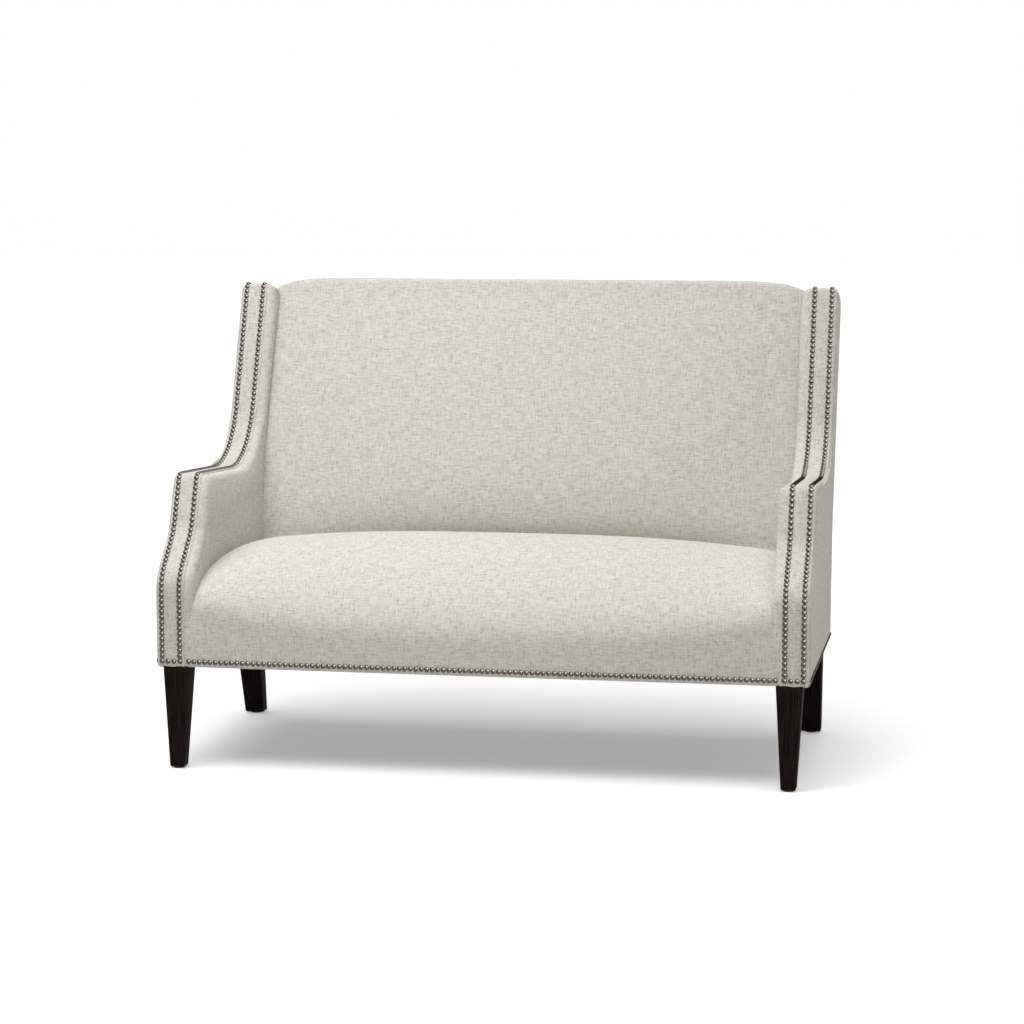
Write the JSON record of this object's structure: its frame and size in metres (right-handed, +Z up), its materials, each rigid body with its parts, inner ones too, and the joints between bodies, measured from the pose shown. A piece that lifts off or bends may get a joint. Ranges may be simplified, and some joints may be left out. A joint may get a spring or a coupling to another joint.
{
  "type": "settee",
  "caption": "Small upholstered settee with a tight crowned seat and raked back, arms swept up into wings, nailhead trim along the edges and tapered dark wooden legs.",
  "frame": {"origin": "on the floor, under the middle of the settee's bounding box", "axes": "+X along the width, to the right of someone who faces the settee; +Y from the front to the back; +Z up"},
  "size_m": [1.3596, 0.7999, 0.9923],
  "materials": {
    "linen_cloth": "plain weave linen look, slubbed",
    "nail_head": "antique pewter, polished dome",
    "dark_leg": "espresso stain, satin",
    "glide_plastic": "moulded",
    "dust_cloth": "non-woven",
    "foam": "open-cell foam",
    "webbing": "woven elastic strap",
    "plywood": "sanded, raw",
    "hardwood": "planed, raw",
    "steel_bolt": "zinc plated"
  },
  "bodies": {
    "root": {"arm_nails_left": "nail_head", "arm_nails_right": "nail_head", "arm_pad_left": "foam", "arm_pad_right": "foam", "arm_post_left": "hardwood", "arm_post_right": "hardwood", "arm_rail_left": "hardwood", "arm_rail_right": "hardwood", "back_foam": "foam", "back_stile_left": "hardwood", "back_stile_right": "hardwood", "back_webbing": "webbing", "corner_blocks": "hardwood", "dust_cover": "dust_cloth", "edge_band_left": "linen_cloth", "edge_band_right": "linen_cloth", "front_leg_left": "dark_leg", "front_leg_right": "dark_leg", "front_nails": "nail_head", "front_rail": "hardwood", "glide_front_left": "glide_plastic", "glide_front_right": "glide_plastic", "glide_rear_left": "glide_plastic", "glide_rear_right": "glide_plastic", "inside_arm_cover_left": "linen_cloth", "inside_arm_cover_right": "linen_cloth", "inside_back_cover": "linen_cloth", "leg_bolts": "steel_bolt", "outside_arm_cover_left": "linen_cloth", "outside_arm_cover_right": "linen_cloth", "outside_back_cover": "linen_cloth", "rear_leg_left": "dark_leg", "rear_leg_right": "dark_leg", "rear_post_left": "hardwood", "rear_post_right": "hardwood", "rear_rail": "hardwood", "seat_cover": "linen_cloth", "seat_foam": "foam", "seat_stretcher": "hardwood", "seat_webbing": "webbing", "side_nails_left": "nail_head", "side_nails_right": "nail_head", "side_panel_inner_left": "plywood", "side_panel_inner_right": "plywood", "side_panel_outer_left": "plywood", "side_panel_outer_right": "plywood", "side_rail_left": "hardwood", "side_rail_right": "hardwood", "tack_rail": "hardwood", "top_rail": "hardwood", "wing_board_left": "hardwood", "wing_board_right": "hardwood"}
  },
  "joints": []
}
